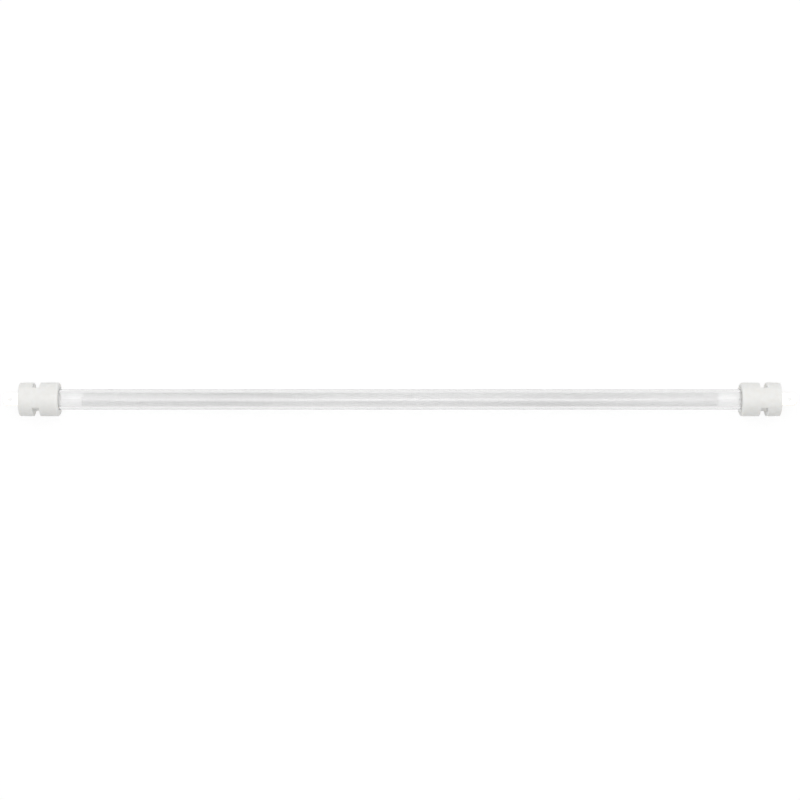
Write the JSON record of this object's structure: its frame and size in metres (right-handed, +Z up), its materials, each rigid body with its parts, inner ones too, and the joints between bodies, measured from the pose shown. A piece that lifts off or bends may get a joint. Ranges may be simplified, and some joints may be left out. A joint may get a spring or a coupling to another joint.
{
  "type": "quartz heating tube",
  "caption": "Milky quartz tube with a wound resistance wire inside and a slotted ceramic cap with a push-on blade terminal at each end, for a radiant heater.",
  "frame": {"origin": "middle of the tube, on its axis", "axes": "+X along the tube towards the right cap, +Y square to the floors of the cap slots, +Z up from the table that it lies on, square to the blades"},
  "size_m": [0.3888, 0.0164, 0.0164],
  "materials": {
    "quartz": "satin",
    "coil_wire": "satin",
    "steatite": "matte",
    "cement": "matte",
    "nickel": "satin"
  },
  "bodies": {
    "root": {"quartz_tube": "quartz", "heating_coil": "coil_wire", "left_end_cap": "steatite", "right_end_cap": "steatite", "left_cement": "cement", "right_cement": "cement", "left_terminal": "nickel", "right_terminal": "nickel"}
  },
  "joints": []
}
